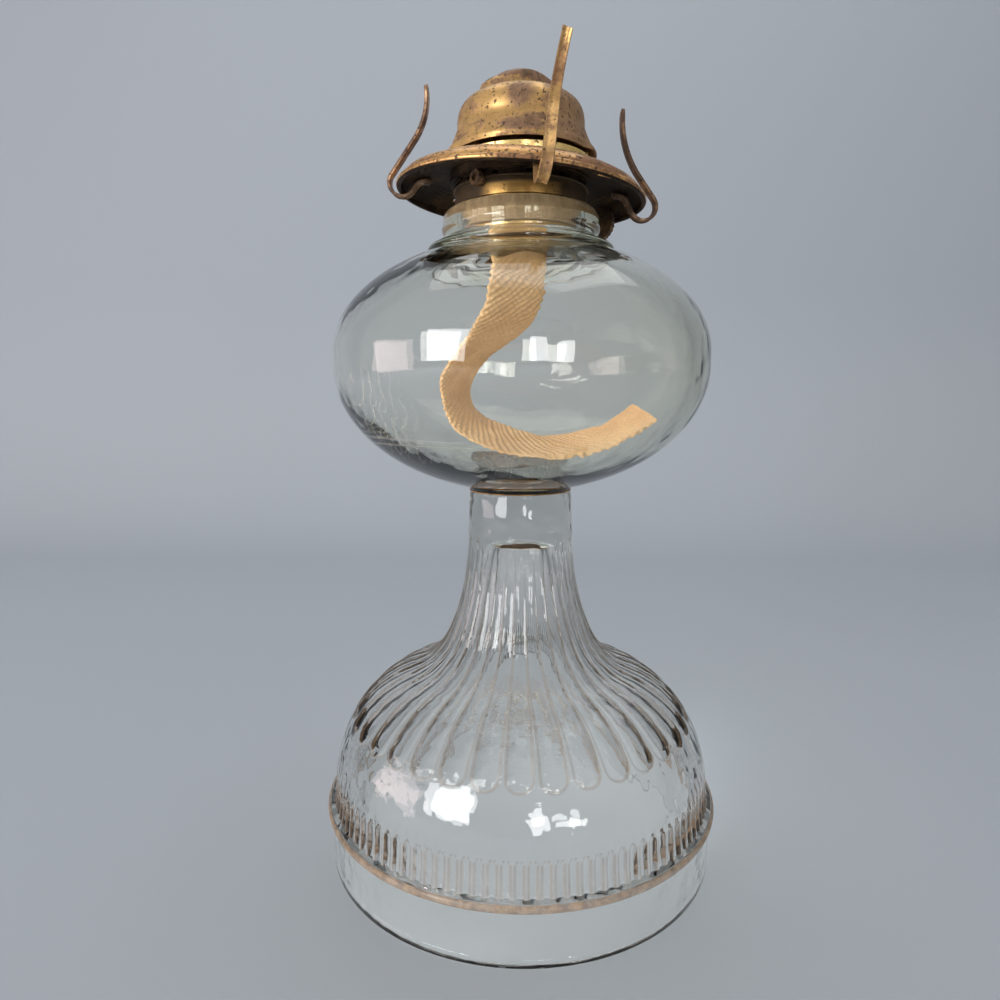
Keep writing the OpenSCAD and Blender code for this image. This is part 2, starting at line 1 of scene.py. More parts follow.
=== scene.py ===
import math

import bmesh
import bpy
import numpy as np
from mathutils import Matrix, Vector


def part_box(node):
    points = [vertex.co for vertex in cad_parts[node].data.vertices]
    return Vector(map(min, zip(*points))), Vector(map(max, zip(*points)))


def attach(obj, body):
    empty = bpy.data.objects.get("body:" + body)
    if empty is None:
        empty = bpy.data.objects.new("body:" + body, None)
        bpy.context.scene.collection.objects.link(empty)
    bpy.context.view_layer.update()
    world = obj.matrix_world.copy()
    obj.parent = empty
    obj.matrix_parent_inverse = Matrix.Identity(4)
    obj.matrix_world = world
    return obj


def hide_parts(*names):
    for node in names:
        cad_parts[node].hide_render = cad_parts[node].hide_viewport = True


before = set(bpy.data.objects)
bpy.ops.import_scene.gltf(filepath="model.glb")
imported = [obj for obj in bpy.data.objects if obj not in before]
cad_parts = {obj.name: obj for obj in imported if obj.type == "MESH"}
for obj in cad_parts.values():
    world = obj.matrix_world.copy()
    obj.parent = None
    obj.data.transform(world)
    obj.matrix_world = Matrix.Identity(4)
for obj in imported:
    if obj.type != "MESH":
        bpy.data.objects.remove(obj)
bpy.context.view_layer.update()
MM = 0.001


# Plain geometry, in millimetres until it becomes a mesh

def cos(a):
    return math.cos(math.radians(a))


def sin(a):
    return math.sin(math.radians(a))


def oval(c, rx, rz, a, b, n):
    """Points of an oval round c from angle a to angle b, in n steps."""
    angles = [a + (b - a) * i / n for i in range(n + 1)]
    return [(c[0] + rx * cos(t), c[1] + rz * sin(t)) for t in angles]


def arc(c, r, a, b, n):
    return oval(c, r, r, a, b, n)


def line(p, q, n):
    return [(p[0] + (q[0] - p[0]) * i / n, p[1] + (q[1] - p[1]) * i / n) for i in range(n + 1)]


def on_circle(centre, radius, a):
    return centre + radius * np.array([cos(a), sin(a)])


def smooth(x, low, high):
    """0 below low, 1 above high and a smooth step between."""
    t = np.clip((x - low) / (high - low), 0, 1)
    return t * t * (3 - 2 * t)


def mesh_piece(name, points, faces, sharp=40):
    """A smooth-shaded object whose edges over the sharp angle stay crisp."""
    mesh = bpy.data.meshes.new(name)
    mesh.from_pydata((np.asarray(points, float) * MM).tolist(), [], faces)
    mesh.validate()
    shell = bmesh.new()
    shell.from_mesh(mesh)
    bmesh.ops.recalc_face_normals(shell, faces=shell.faces)
    shell.to_mesh(mesh)
    shell.free()
    mesh.shade_smooth()
    mesh.set_sharp_from_angle(angle=math.radians(sharp))
    piece = bpy.data.objects.new(name, mesh)
    bpy.context.scene.collection.objects.link(piece)
    return piece


def grid_faces(rows, columns, start=0, closed_rows=False):
    """Faces between rows of points; each row is a closed ring."""
    faces = []
    for i in range(rows if closed_rows else rows - 1):
        k = (i + 1) % rows
        for j in range(columns):
            m = (j + 1) % columns
            corners = ((i, j), (i, m), (k, m), (k, j))
            faces.append(tuple(start + row * columns + column for row, column in corners))
    return faces


def spun_points(profile, columns):
    """Rows of points of a profile turned about Z."""
    turn = np.arange(columns) * 2 * math.pi / columns
    rows = [np.stack([r * np.sin(turn), -r * np.cos(turn), np.full(columns, z)], axis=1) for r, z in profile]
    return np.concatenate(rows)


def apply_modifiers(piece, modifiers):
    depsgraph = bpy.context.evaluated_depsgraph_get()
    applied = bpy.data.meshes.new_from_object(piece.evaluated_get(depsgraph))
    for modifier in modifiers:
        piece.modifiers.remove(modifier)
    piece.data = applied


def cut(piece, tools, sharp=35):
    """Cuts tool shapes out of a piece."""
    cuts = []
    for tool in tools:
        modifier = piece.modifiers.new("cut", "BOOLEAN")
        modifier.operation = "DIFFERENCE"
        modifier.solver = "EXACT"
        modifier.object = tool
        cuts.append(modifier)
    apply_modifiers(piece, cuts)
    for tool in tools:
        bpy.data.objects.remove(tool)
    piece.data.shade_smooth()
    piece.data.set_sharp_from_angle(angle=math.radians(sharp))


def prism(outline, low, high):
    """A straight prism over an outline, used as a cutting tool."""
    n = len(outline)
    points = [(x, y, low) for x, y in outline] + [(x, y, high) for x, y in outline]
    faces = [tuple(range(n))[::-1], tuple(range(n, 2 * n))]
    faces += [(j, (j + 1) % n, n + (j + 1) % n, n + j) for j in range(n)]
    return mesh_piece("tool", points, faces)


# Shader nodes

def new_material(name):
    material = bpy.data.materials.new(name)
    material.use_nodes = True
    return material, material.node_tree, material.node_tree.nodes["Principled BSDF"]


def fill(tree, node, inputs):
    """Links or sets a node's inputs, each under its title or number."""
    for title, value in inputs.items():
        if isinstance(value, bpy.types.NodeSocket):
            tree.links.new(value, node.inputs[title])
        else:
            node.inputs[title].default_value = value


def add(tree, kind, inputs=None, **settings):
    """A new node with its settings and inputs."""
    node = tree.nodes.new(kind)
    for setting, value in settings.items():
        setattr(node, setting, value)
    fill(tree, node, inputs or {})
    return node


def place(tree, stretch=(1, 1, 1)):
    """Coordinates fixed to the object, in metres, stretched along each axis."""
    where = add(tree, "ShaderNodeTexCoord").outputs["Object"]
    return add(tree, "ShaderNodeMapping", {"Vector": where, "Scale": stretch}).outputs["Vector"]


def noise(tree, scale, detail, rough, stretch=(1, 1, 1)):
    inputs = {"Vector": place(tree, stretch), "Scale": scale, "Detail": detail, "Roughness": rough}
    return add(tree, "ShaderNodeTexNoise", inputs).outputs["Fac"]


def ramp(tree, value, low, high, turned=False):
    """Maps low to 0 and high to 1 in a smooth step, or the other way round."""
    inputs = {"Value": value, "From Min": low, "From Max": high, "To Min": int(turned),
              "To Max": int(not turned)}
    return add(tree, "ShaderNodeMapRange", inputs, interpolation_type="SMOOTHSTEP").outputs["Result"]


def span(tree, share, at_0, at_1):
    """A value that goes evenly from one to another as the share goes from 0 to 1."""
    return add(tree, "ShaderNodeMapRange", {"Value": share, "To Min": at_0, "To Max": at_1}).outputs["Result"]


def maths(tree, operation, a, b=0.0):
    return add(tree, "ShaderNodeMath", {0: a, 1: b}, operation=operation).outputs["Value"]


def times(tree, a, b):
    return maths(tree, "MULTIPLY", a, b)


def plus(tree, a, b):
    return maths(tree, "ADD", a, b)


def highest(tree, a, b):
    return maths(tree, "MAXIMUM", a, b)


def swing(tree, value, size):
    """Noise, which lies round 0.5, made to lie round 0."""
    return times(tree, maths(tree, "SUBTRACT", value, 0.5), size)


def band(tree, value, start, full, fade, end):
    """1 between full and fade, and 0 before the start and past the end."""
    return times(tree, ramp(tree, value, start, full), ramp(tree, value, fade, end, True))


def part_of(tree, axis):
    """One coordinate of the object's own space, in metres."""
    return add(tree, "ShaderNodeSeparateXYZ", {0: place(tree)}).outputs[axis]


def from_axis(tree):
    """The distance from the lamp's axis, in metres."""
    x, y = part_of(tree, "X"), part_of(tree, "Y")
    return maths(tree, "SQRT", plus(tree, times(tree, x, x), times(tree, y, y)))


def near(tree, spot, least, most):
    """1 within the least distance of a spot on the object and 0 beyond the most, with a ragged edge."""
    away = add(tree, "ShaderNodeVectorMath", {0: place(tree), 1: spot}, operation="DISTANCE")
    ragged = swing(tree, noise(tree, 260, 5, 0.65), most)
    return ramp(tree, plus(tree, away.outputs["Value"], ragged), least, most, True)


def mix(tree, share, first, second):
    """A colour between two, each a socket or plain red, green and blue."""
    colour_a, colour_b, colour_out = 6, 7, 2
    inputs = {0: share}
    for number, colour in ((colour_a, first), (colour_b, second)):
        inputs[number] = colour if isinstance(colour, bpy.types.NodeSocket) else (*colour, 1)
    return add(tree, "ShaderNodeMix", inputs, data_type="RGBA").outputs[colour_out]


def mottled(tree, grain, first, second, low=0.35, high=0.65):
    """A colour that wanders between two; grain is the noise's scale, detail and roughness."""
    return mix(tree, ramp(tree, noise(tree, *grain), low, high), first, second)


def bump(tree, height, strength, distance, before=None):
    """A surface normal bent by a height, on top of the bumps before it."""
    inputs = {"Strength": strength, "Distance": distance, "Height": height}
    if before is not None:
        inputs["Normal"] = before
    return add(tree, "ShaderNodeBump", inputs).outputs["Normal"]


def overlay(tree, share, below, above):
    """One surface over another; the share is the upper one's."""
    return add(tree, "ShaderNodeMixShader", {0: share, 1: below, 2: above}).outputs[0]


# Materials

SPECK = (0.035, 0.02, 0.012)


def darker(colour, share):
    return tuple(c * share for c in colour)


def brass(name, gold, oxide, tarnish, specks, shine, streak=0.0, metallic=0.75, specular=0.5, tarnish_and_shade=None):
    """Old brass: gold under patchy brown oxide, with specks and scratches; an extra mask adds its own places
    of oxide colour: tarnish on the dome, painted shade on the cup.
    """
    material, tree, shader = new_material(name)
    large, small = noise(tree, 55, 6, 0.62), noise(tree, 260, 5, 0.65)
    patches = plus(tree, times(tree, large, 0.62), times(tree, small, 0.38))
    if streak:
        patches = plus(tree, patches, swing(tree, noise(tree, 90, 3, 0.5, (0.35, 0.35, 3)), streak))
    spread, speck_spread = tarnish * 0.3, 0.1 * specks
    cover = ramp(tree, patches, 0.62 - spread, 0.74 - spread)
    if tarnish_and_shade:
        cover = highest(tree, cover, tarnish_and_shade(tree))
    tone = mottled(tree, (140, 5, 0.6), gold, darker(gold, 0.72))
    crust = mottled(tree, (400, 4, 0.6), oxide, darker(oxide, 0.55), high=0.7)
    spots = ramp(tree, noise(tree, 950, 3, 0.5), 0.69 - speck_spread, 0.76 - speck_spread)
    colour = mix(tree, times(tree, spots, 0.85), mix(tree, times(tree, cover, 0.92), tone, crust), SPECK)
    dull = highest(tree, cover, spots)
    scratches, dents = noise(tree, 700, 2, 0.5, (1, 1, 6)), noise(tree, 45, 2, 0.4)
    normal = bump(tree, scratches, 0.12, 0.0002)
    normal = bump(tree, dull, 0.25, 0.0002, normal)
    normal = bump(tree, dents, 0.2, 0.001, normal)
    fill(tree, shader, {"Base Color": colour, "Metallic": span(tree, dull, metallic, metallic * 0.45),
                        "Roughness": span(tree, dull, shine, 0.62), "Specular IOR Level": specular,
                        "Normal": normal})
    return material


def brown_dome(tree):
    """The cap, the right side, a stain at the front and a band on the lower wall are brown."""
    ragged = swing(tree, noise(tree, 180, 5, 0.65), 0.009)
    height = plus(tree, part_of(tree, "Z"), ragged)
    side = plus(tree, part_of(tree, "X"), times(tree, ragged, 1.6))
    cap = ramp(tree, height, (DOME_Z + 18.9) * MM, (DOME_Z + 20) * MM)
    right = times(tree, ramp(tree, side, 5.5 * MM, 10 * MM), 0.85)
    low = band(tree, height, *((DOME_Z + z) * MM for z in (2.6, 3.4, 4.6, 6.4)))
    low = times(tree, low, ramp(tree, side, -6 * MM, 2 * MM))
    stain = near(tree, (0, -0.0185, (DOME_Z + 12) * MM), 0.0025, 0.006)
    return highest(tree, highest(tree, cap, right), highest(tree, low, stain))


def cup_side_shade_and_lip_band(tree):
    """Painted shade on the cup's sides, darker towards its left and right as seen from the front, and a
    darker band just under its lip.
    """
    lip_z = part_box("burner_cup")[1][2]
    sides = ramp(tree, maths(tree, "ABSOLUTE", part_of(tree, "X")), 8 * MM, 13 * MM)
    lip = ramp(tree, part_of(tree, "Z"), lip_z - 3.2 * MM, lip_z - 1.6 * MM)
    return highest(tree, sides, lip)


def glass(name, tint, density, depth_tint, wave_scale, wave, chill_z=None, grime_and_edge_shade=None, marks=None):
    """Old glass: clear, slightly wavy, tinted in its depth; it may have chill waves, grime with painted
    shade, and fine marks.
    """
    material, tree, shader = new_material(name)
    normal = bump(tree, noise(tree, wave_scale, 2, 0.5), wave, 0.002)
    normal = bump(tree, noise(tree, 14, 1, 0.3), 0.25, 0.004, normal)
    if chill_z:
        normal = bump(tree, chill_waves(tree, *chill_z), 0.35, 0.002, normal)
    fill(tree, shader, {"Base Color": (*tint, 1), "Transmission Weight": 1, "IOR": 1.5, "Roughness": 0.015,
                        "Normal": normal})
    surface = shader.outputs["BSDF"]
    # The dirt shader lays old dirt on the bead and painted shade along the flute edges.
    if grime_and_edge_shade:
        brown = mottled(tree, (420, 5, 0.65), (0.5, 0.33, 0.19), (0.27, 0.17, 0.1))
        dirt_and_edge_shade = add(tree, "ShaderNodeBsdfPrincipled", {
            "Base Color": brown, "Roughness": 0.55, "Normal": normal})
        surface = overlay(tree, grime_and_edge_shade(tree), surface, dirt_and_edge_shade.outputs["BSDF"])
    if marks:
        film = add(tree, "ShaderNodeBsdfPrincipled", {"Base Color": (0.74, 0.7, 0.62, 1), "Roughness": 0.6})
        surface = overlay(tree, marks(tree), surface, film.outputs["BSDF"])
    clear = add(tree, "ShaderNodeBsdfTransparent", {"Color": (0.95, 0.96, 0.95, 1)})
    depth = add(tree, "ShaderNodeVolumeAbsorption", {"Color": (*depth_tint, 1), "Density": density})
    casts_shadow = add(tree, "ShaderNodeLightPath").outputs["Is Shadow Ray"]
    fill(tree, tree.nodes["Material Output"], {
        "Surface": overlay(tree, casts_shadow, surface, clear.outputs[0]), "Volume": depth.outputs[0]})
    return material


def chill_waves(tree, low, high):
    """Waves of glass that chilled in the mould: in patches at the front, between two heights."""
    patches = band(tree, part_of(tree, "Z"), low, low + 0.006, high - 0.01, high)
    patches = times(tree, patches, ramp(tree, part_of(tree, "Y"), -0.046, -0.03, True))
    patches = times(tree, patches, ramp(tree, noise(tree, 34, 3, 0.6), 0.44, 0.6))
    return times(tree, noise(tree, 110, 3, 0.5, (1, 1, 3)), patches)


def pedestal_grime_and_edge_shade(tree):
    """Old dirt on the bead, thinner at the back, and painted shade along the edges of the flutes."""
    low, high, least_r = (BEAD_Z - 1.5) * MM, (BEAD_Z + 1.5) * MM, (CROWN_R + 0.9) * MM
    fade = 0.0004
    in_bead = band(tree, part_of(tree, "Z"), low, low + fade, high - fade, high)
    in_bead = times(tree, in_bead, ramp(tree, from_axis(tree), least_r - fade / 2, least_r))
    patchy = plus(tree, times(tree, noise(tree, 300, 5, 0.7), 0.9), 0.25)
    thinner = times(tree, ramp(tree, part_of(tree, "Y"), 0.01, 0.045), 0.6)
    patchy = times(tree, patchy, maths(tree, "SUBTRACT", 1.0, thinner))
    # Painted shade: dark lines along the edges of the flutes.
    flute_edge_shade = times(tree, add(tree, "ShaderNodeAttribute", attribute_name="edge").outputs["Fac"], 0.5)
    return highest(tree, times(tree, in_bead, patchy), flute_edge_shade)


def font_marks(tree):
    """Fine wandering cracks at the lower left of the font, and the line where oil has dried."""
    inputs = {"Vector": place(tree, (1, 1, 0.8)), "Scale": 95, "Distortion": 9, "Detail": 3,
              "Detail Scale": 1.6}
    wave = add(tree, "ShaderNodeTexWave", inputs).outputs["Fac"]
    cracks = times(tree, ramp(tree, wave, 0.955, 0.995), near(tree, CRACKS, 0.006, 0.021))
    height = plus(tree, part_of(tree, "Z"), times(tree, part_of(tree, "X"), 0.03))
    level = band(tree, height, *((OIL_LINE_Z + z) * MM for z in (-0.5, 0, 0, 0.5)))
    level = times(tree, level, ramp(tree, part_of(tree, "X"), -0.022, 0.002, True))
    level = times(tree, level, ramp(tree, part_of(tree, "Y"), -0.02, -0.01, True))
    return times(tree, highest(tree, cracks, times(tree, level, 0.8)), 0.34)


def plaster(name, light, dark):
    material, tree, shader = new_material(name)
    grain = bump(tree, noise(tree, 600, 5, 0.7), 0.5, 0.0005)
    fill(tree, shader, {"Base Color": mottled(tree, (350, 6, 0.7), light, dark), "Roughness": 0.85,
                        "Normal": grain})
    return material


def cotton(name):
    """Oil-stained cotton tape."""
    material, tree, shader = new_material(name)
    stain = mottled(tree, (60, 5, 0.6), (0.9, 0.58, 0.3), (0.76, 0.45, 0.21))
    shaded = mix(tree, 0.35, stain, (0.3, 0.18, 0.1))
    colour = mottled(tree, (1500, 4, 0.7), shaded, stain, 0.3, 0.7)
    fibres = bump(tree, noise(tree, 2200, 3, 0.6), 0.4, 0.0002)
    fill(tree, shader, {"Base Color": colour, "Roughness": 0.9, "Sheen Weight": 0.25, "Normal": fibres})
    return material


def amber(name):
    material, tree, shader = new_material(name)
    colour = mottled(tree, (300, 5, 0.6), (0.4, 0.2, 0.06), (0.12, 0.06, 0.02), 0.4, 0.6)
    fill(tree, shader, {"Base Color": colour, "Roughness": 0.25})
    return material


def backdrop(name, colour):
    material, tree, shader = new_material(name)
    fill(tree, shader, {"Base Color": (*colour, 1), "Roughness": 0.9})
    return material


# Sizes, as in the part's source

SKIRT_R, BELL_WALL, CROWN_R, CROWN_Z, SHOULDER_R = 64.8, 4.6, 63.5, 26, 39.5
STEM_R, FLARE_Z, FLARE_R, FLARE_SLOPE, JOINT_Z, FILM_T = 17.6, 108, 82, 23, 123.8, 0.3
HOLLOW_Z, HOLLOW_R, BEAD_Z, BEAD_T = 104, 9.4, 18.8, 1.5
LONG_FLUTES, FLUTE_DEPTH, FLUTE_FOOT_Z = 36, 1.5, 46.5
BAND_FLUTES, BAND_DEPTH, BAND_FLUTE_R, BAND_TOP_Z = 108, 0.75, 1.35, 32.3
FONT_R, FONT_Z, EQUATOR_H, FONT_DROP, FONT_RISE, FONT_WALL, FONT_FLOOR = 60.3, 166, 4, 40.4, 36, 3, 4.4
OIL_FOOT_Z = JOINT_Z + FILM_T + FONT_FLOOR
NECK_Z, RIDGE_R, STEP_R, NECK_BORE = 213, 25.3, 29.9, 18.6
WICK_W, WICK_T, TUBE_TOP, FEED_AZ = 25.4, 2.8, 246, 46
RIM_R, RIM_T, RIM_Z, LEAN, SHEET = 38.6, 0.95, 217.7, 4.2, 0.6
CUP_R, PRONG_W, PRONG_T, GAP = 21, 3.4, 0.8, 0.3
DOME_Z, SLOT_W = 229.6, 5.2


# Sizes of this scene alone

FILM_SINK = 0.06
CRACKS, OIL_LINE_Z = (-0.036, -0.034, 0.1505), 141.5
HUB_R = CUP_R + 1.6
PLATE_C = (HUB_R + 1.4, 0)
PLATE_RX = RIM_R - 0.2 - PLATE_C[0]
PLATE_TOP, PLATE_POWER, HUB_EDGE_R = 5.6, 2.4, HUB_R - 0.7
DRAFT_AZ, DRAFT_R = (64, 149, 212, 314), (PLATE_C[0] + RIM_R) / 2 - 1.1
RING_LOW_Z, RING_TOP_Z, RING_HIGH_Z = 221, 228.1, 230.3
WALL_R, WALL_Z, CROWN_TOP, CROWN_POWER, CAP_TOP = 20.05, 8, 18.6, 3.1, 24.9
RIVET_A = 65
# azimuth and sideways bend, then the form: the run down from the rivet, the heading after the loop,
# the straight run, the radius of the last bend and its angle
PRONGS = {"prong_front": (8, 5.2, 8, 123, 16, 26, -51), "prong_right": (98, 0, 4, 131, 8.5, 29, -42),
          "prong_back": (183, 0, 3.9, 123, 10, 26, -51), "prong_left": (265, 0, 1.7, 122, 13, 22, -46)}


# Pedestal

def pedestal_arcs():
    """The shoulder's arc, and the short and the long arc that lead on into the stem."""
    shoulder = np.array([CROWN_R - SHOULDER_R, CROWN_Z])
    long_c = np.array([STEM_R + FLARE_R, FLARE_Z])
    ahead = np.array([cos(FLARE_SLOPE), sin(FLARE_SLOPE)])
    to = long_c - FLARE_R * ahead - shoulder
    short_r = (to @ to - SHOULDER_R ** 2) / (2 * (SHOULDER_R - ahead @ to))
    short_c = shoulder + to + short_r * ahead
    meet = math.degrees(math.atan2(short_c[1] - shoulder[1], short_c[0] - shoulder[0]))
    return shoulder, short_c, short_r, long_c, meet


def pedestal_outside():
    """Rows of radius, height and slope of the outer surface, from the foot to the joint."""
    shoulder, short_c, short_r, long_c, meet = pedestal_arcs()
    foot_round = 1.2
    foot = arc((SKIRT_R - foot_round, foot_round), foot_round, -90, 0, 5)
    rows = [(r, z, a) for (r, z), a in zip(foot, np.linspace(-90, 0, 6))]
    wall = line((SKIRT_R, 2.5), (CROWN_R + 1.7, BEAD_Z - BEAD_T), 8)
    wall += arc((CROWN_R + 1.4, BEAD_Z), BEAD_T, -75, 75, 14)
    wall += line((CROWN_R + 0.6, BEAD_Z + BEAD_T + 0.1), (CROWN_R, CROWN_Z), 8)
    rows += [(r, z, 0) for r, z in wall]
    band_a, flute_a = (math.degrees(math.asin((z - CROWN_Z) / SHOULDER_R))
                       for z in (BAND_TOP_Z + 0.3, FLUTE_FOOT_Z))
    stretches = ((0.6, band_a, 20), (band_a + 2, flute_a - 1, 8),
                 (flute_a, flute_a + 8, 14), (flute_a + 9.5, meet, 20))
    angles = np.concatenate([np.linspace(*stretch) for stretch in stretches])
    rows += [(*on_circle(shoulder, SHOULDER_R, a), a) for a in angles]
    rows += [(*on_circle(short_c, -short_r, a), a) for a in np.linspace(meet, FLARE_SLOPE, 18)[1:]]
    rows += [(*on_circle(long_c, -FLARE_R, a), a) for a in np.linspace(FLARE_SLOPE, 0, 18)[1:]]
    stem = ((0, FLARE_Z + 2), (0.3, FLARE_Z + 8), (0.6, JOINT_Z - 0.8), (1.1, JOINT_Z + FILM_SINK))
    rows += [(STEM_R - narrower, z, 0) for narrower, z in stem]
    return rows


def pedestal_inside():
    """Radius and height of the hollow, from the foot to its blunt end in the stem."""
    shoulder, short_c, short_r, _, meet = pedestal_arcs()
    foot_r = CROWN_R - BELL_WALL
    inside = [(SKIRT_R - 2.6, 0), (foot_r + 1.7, 0.5), (foot_r + 1.4, 1.2)]
    inside += line((foot_r + 1.35, 3), (foot_r, CROWN_Z), 8)[:-1]
    inside += arc(shoulder, SHOULDER_R - BELL_WALL, 0, meet, 20)
    inside += [tuple(on_circle(short_c, -short_r - BELL_WALL, a)) for a in np.linspace(meet, 25, 10)[1:]]
    end_r, end_h, end_top = HOLLOW_R - 1.8, 2.6, HOLLOW_Z + 3.5
    inside += line(inside[-1], (end_r, end_top - end_h), 8)[1:]
    inside += oval((0, end_top - end_h), end_r, end_h, 0, 88, 10)[1:]
    return inside


def across_flute(columns, count):
    """Each column's place across its own flute, from -0.5 to 0.5."""
    return (np.arange(columns) * count / columns + 0.5) % 1 - 0.5


def small_flutes(r, z, across):
    """Depth of the small pointed flutes at one height, and the strength of the painted shade along their
    edges.
    """
    point_h = 2.2 * BAND_FLUTE_R
    half = BAND_FLUTE_R * min(1, (BAND_TOP_Z - z) / point_h)
    aside = np.abs(across * 2 * math.pi * r / BAND_FLUTES) / max(half, 0.01)
    depth = BAND_DEPTH * math.sqrt(half / BAND_FLUTE_R) * np.clip(1 - aside ** 2, 0, 1)
    return depth, 0.8 * np.clip(1 - np.abs(aside - 0.95) / 0.45, 0, 1)


def long_flutes(r, z, across, run):
    """The same for the long flutes, whose round feet end after a short run."""
    foot_r, fade_h, edge_fade_h = 4.2, 10, 30
    width = (r - STEM_R) / (CROWN_R - STEM_R)
    pitch = 2 * math.pi * r / LONG_FLUTES
    half = pitch * (0.5 - 0.09 * width)
    out = np.sqrt((across * pitch / half) ** 2 + max(0, 1 - run / foot_r) ** 2)
    full = FLUTE_DEPTH * (0.25 + 0.75 * width) * min(1, max(0, (FLARE_Z - z) / fade_h))
    # Strength of the painted shade along the flute's edge.
    edge = 0.75 * np.clip(1 - np.abs(out - 0.95) / 0.15, 0, 1) * min(1, max(0, (FLARE_Z - z) / edge_fade_h))
    return full * np.clip(1 - out ** 2, 0, 1) ** 0.8, edge


def pedestal_mesh():
    """Pressed glass: 36 long flutes with round feet, and a band of 108 small pointed ones."""
    columns = BAND_FLUTES * 6
    turn = np.arange(columns) * 2 * math.pi / columns
    points, edges, run, before = [], [], 0, None
    for r, z, slope in pedestal_outside():
        depth, edge = np.zeros(columns), np.zeros(columns)
        if BEAD_Z + BEAD_T + 0.05 < z < BAND_TOP_Z:
            depth, edge = small_flutes(r, z, across_flute(columns, BAND_FLUTES))
        if z > FLUTE_FOOT_Z:
            if before is not None:
                run += math.hypot(r - before[0], z - before[1])
            before = (r, z)
            depth, edge = long_flutes(r, z, across_flute(columns, LONG_FLUTES), run)
        edges.append(edge)
        cut_r = r - depth * cos(slope)
        points.append(np.stack([cut_r * np.sin(turn), -cut_r * np.cos(turn), z - depth * sin(slope)], axis=1))
    outer_rows = len(points)
    inside = pedestal_inside()
    inner_points = spun_points(inside[::-1], columns)
    foot_ring = (outer_rows + len(inside) - 1) * columns
    faces = grid_faces(outer_rows, columns)
    faces += grid_faces(len(inside), columns, outer_rows * columns)
    for j in range(columns):
        k = (j + 1) % columns
        faces.append((foot_ring + j, foot_ring + k, k, j))
    faces.append(tuple(range((outer_rows - 1) * columns, outer_rows * columns)))
    faces.append(tuple(range(outer_rows * columns, (outer_rows + 1) * columns))[::-1])
    piece = mesh_piece("pressed_glass_pedestal", np.concatenate([*points, inner_points]), faces, 50)
    edges = np.concatenate([*edges, np.zeros(len(inner_points))])
    # Each point's strength of painted shade along the flute edges.
    piece.data.attributes.new("edge", "FLOAT", "POINT").data.foreach_set("value", edges)
    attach(piece, "lamp")
    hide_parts("pedestal")
    return piece


# Font

def font_outside(low, high):
    """From the foot round the belly to the step, the waist, the neck's ridge and the lip."""
    foot_z = JOINT_Z + FILM_T - FILM_SINK
    foot_a = math.degrees(math.acos((STEM_R - 0.3) / FONT_R))
    step_a = math.degrees(math.acos((STEP_R + 1.3) / FONT_R))
    outside = [(0.01, foot_z), (STEM_R - 1.2, foot_z), (STEM_R - 0.7, foot_z + 0.2)]
    outside += oval(low, FONT_R, FONT_DROP, -foot_a, 0, 40)
    outside += oval(high, FONT_R, FONT_RISE, 0, step_a, 36)
    outside += arc((STEP_R - 1.6, NECK_Z - 12.6), 1.6, -50, 75, 10)
    outside += arc((RIDGE_R - 0.2, NECK_Z - 8.6), 0.8, 255, 190, 5)
    outside += arc((RIDGE_R - 2.2, NECK_Z - 5.8), 2.2, -40, 25, 8)
    outside += arc((RIDGE_R - 3.5, NECK_Z - 3.2), 3.2, 15, 85, 10)
    return outside


def font_inside(low, high):
    """The oil's room and the neck's bore, a little narrower where the plaster wets it."""
    oil_r, bore_z, wetted = FONT_R - FONT_WALL, NECK_Z - 9.5, NECK_BORE - 0.25
    oil_a = math.degrees(math.acos((NECK_BORE + 7) / oil_r))
    inside = [(0.01, OIL_FOOT_Z)]
    inside += oval(low, oil_r, low[1] - OIL_FOOT_Z, -88, 0, 40)
    inside += oval(high, oil_r, FONT_RISE - FONT_WALL, 0, oil_a, 28)
    inside += arc((NECK_BORE + 3.4, bore_z - 3.2), 3.4, 250, 180, 6)
    inside += [(NECK_BORE, bore_z), (NECK_BORE, NECK_Z - 3.4), (wetted, NECK_Z - 3.2), (wetted, NECK_Z)]
    return inside


def font_mesh():
    """Blown glass, with the inside a little to the left of the outside, so that the right wall is thicker."""
    low, high = (0, FONT_Z - EQUATOR_H / 2), (0, FONT_Z + EQUATOR_H / 2)
    outside, inside = font_outside(low, high), font_inside(low, high)
    columns, uneven = 192, 1.8
    points = spun_points(outside + inside[::-1], columns)
    inner_points = points[len(outside) * columns:]
    z = inner_points[:, 2]
    below_neck = 1 - smooth(z, FONT_Z + 8, NECK_Z - 13)
    inner_points[:, 0] -= uneven * smooth(z, OIL_FOOT_Z + 4, FONT_Z - 6) * below_neck
    faces = grid_faces(len(outside) + len(inside), columns, closed_rows=True)
    piece = mesh_piece("blown_glass_font", points, faces, 50)
    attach(piece, "lamp")
    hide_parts("font")
    return piece


# Wick

WICK_PATH = [
    ((0, 0, TUBE_TOP - 0.5), (sin(FEED_AZ), cos(FEED_AZ), 0)),
    ((0, 0, 200), (sin(FEED_AZ), cos(FEED_AZ), 0)),
    ((0, 0, 192), (sin(FEED_AZ), cos(FEED_AZ), 0)),
    ((-2, 2, 184), (0.7, 0.72, 0)),
    ((-8, 8, 176), (0.62, 0.78, 0.05)),
    ((-16, 13, 168.5), (0.5, 0.85, 0.1)),
    ((-21, 16, 160), (0.36, 0.93, 0)),
    ((-21.5, 16, 151.5), (0.3, 0.95, 0)),
    ((-17, 13, OIL_FOOT_Z + 14), (0.2, 0.93, 0.24)),
    ((-8, 8, OIL_FOOT_Z + 8.9), (0.04, 0.95, 0.28)),
    ((3, 3, OIL_FOOT_Z + 6.5), (0, 0.97, 0.22)),
    ((14, 0.5, OIL_FOOT_Z + 6.7), (0, 0.98, 0.17)),
    ((25, -1, OIL_FOOT_Z + 9.7), (-0.04, 0.98, 0.16)),
    ((34.5, -1.5, OIL_FOOT_Z + 14.8), (-0.08, 0.98, 0.14)),
    ((42, -1.5, OIL_FOOT_Z + 20.2), (-0.1, 0.98, 0.14))]


